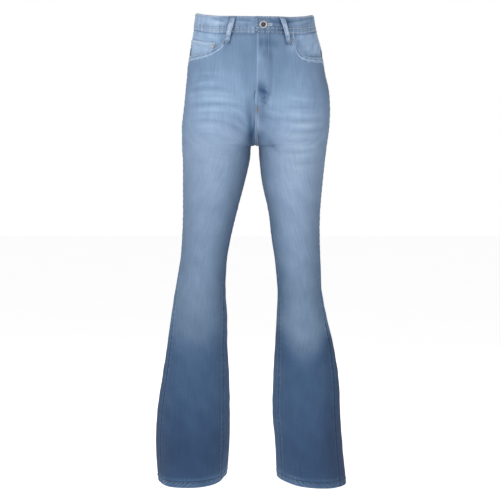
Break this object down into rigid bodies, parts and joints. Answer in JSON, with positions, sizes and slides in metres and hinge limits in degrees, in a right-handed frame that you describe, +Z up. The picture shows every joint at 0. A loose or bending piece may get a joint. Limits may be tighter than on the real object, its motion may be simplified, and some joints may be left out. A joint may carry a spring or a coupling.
{
  "type": "flared jeans",
  "caption": "High-waisted light-wash flared jeans, filled out as if worn, open at the waist and lower edges, with pockets, belt loops and a closed zip fly.",
  "frame": {"origin": "middle of the waist, at half the height of the waistband at the centre front", "axes": "+Z up, the front faces -Y, and +X points to the wearer's left"},
  "size_m": [0.433, 0.245, 1.0689],
  "materials": {
    "denim_panel": "light-wash blue denim twill that turns dark indigo below the knee, matt, with a pale weft and faded thighs",
    "denim_trim": "pale light-wash denim twill with worn edges, on the waistband, belt loops, facings and coin pocket",
    "denim_inside": "plain denim behind the fly",
    "zip_tape": "woven navy zip tape",
    "zip_metal": "dull nickel zip chain and slider",
    "button_metal": "antique pewter, darker in the recess and brighter on the rim"
  },
  "bodies": {
    "root": {"front_right": "denim_panel", "front_left": "denim_panel", "back_right": "denim_panel", "back_left": "denim_panel", "yoke_right": "denim_panel", "yoke_left": "denim_panel", "back_pocket_right": "denim_panel", "back_pocket_left": "denim_panel", "waistband": "denim_trim", "pocket_facing_right": "denim_trim", "pocket_facing_left": "denim_trim", "coin_pocket": "denim_trim", "belt_loop_front_right": "denim_trim", "belt_loop_front_left": "denim_trim", "belt_loop_side_right": "denim_trim", "belt_loop_side_left": "denim_trim", "belt_loop_back": "denim_trim", "fly_facing": "denim_inside", "fly_shield": "denim_inside", "zip_tape": "zip_tape", "zip_chain": "zip_metal", "zip_slider": "zip_metal", "button": "button_metal", "rivet_coin_pocket": "button_metal"}
  },
  "joints": []
}
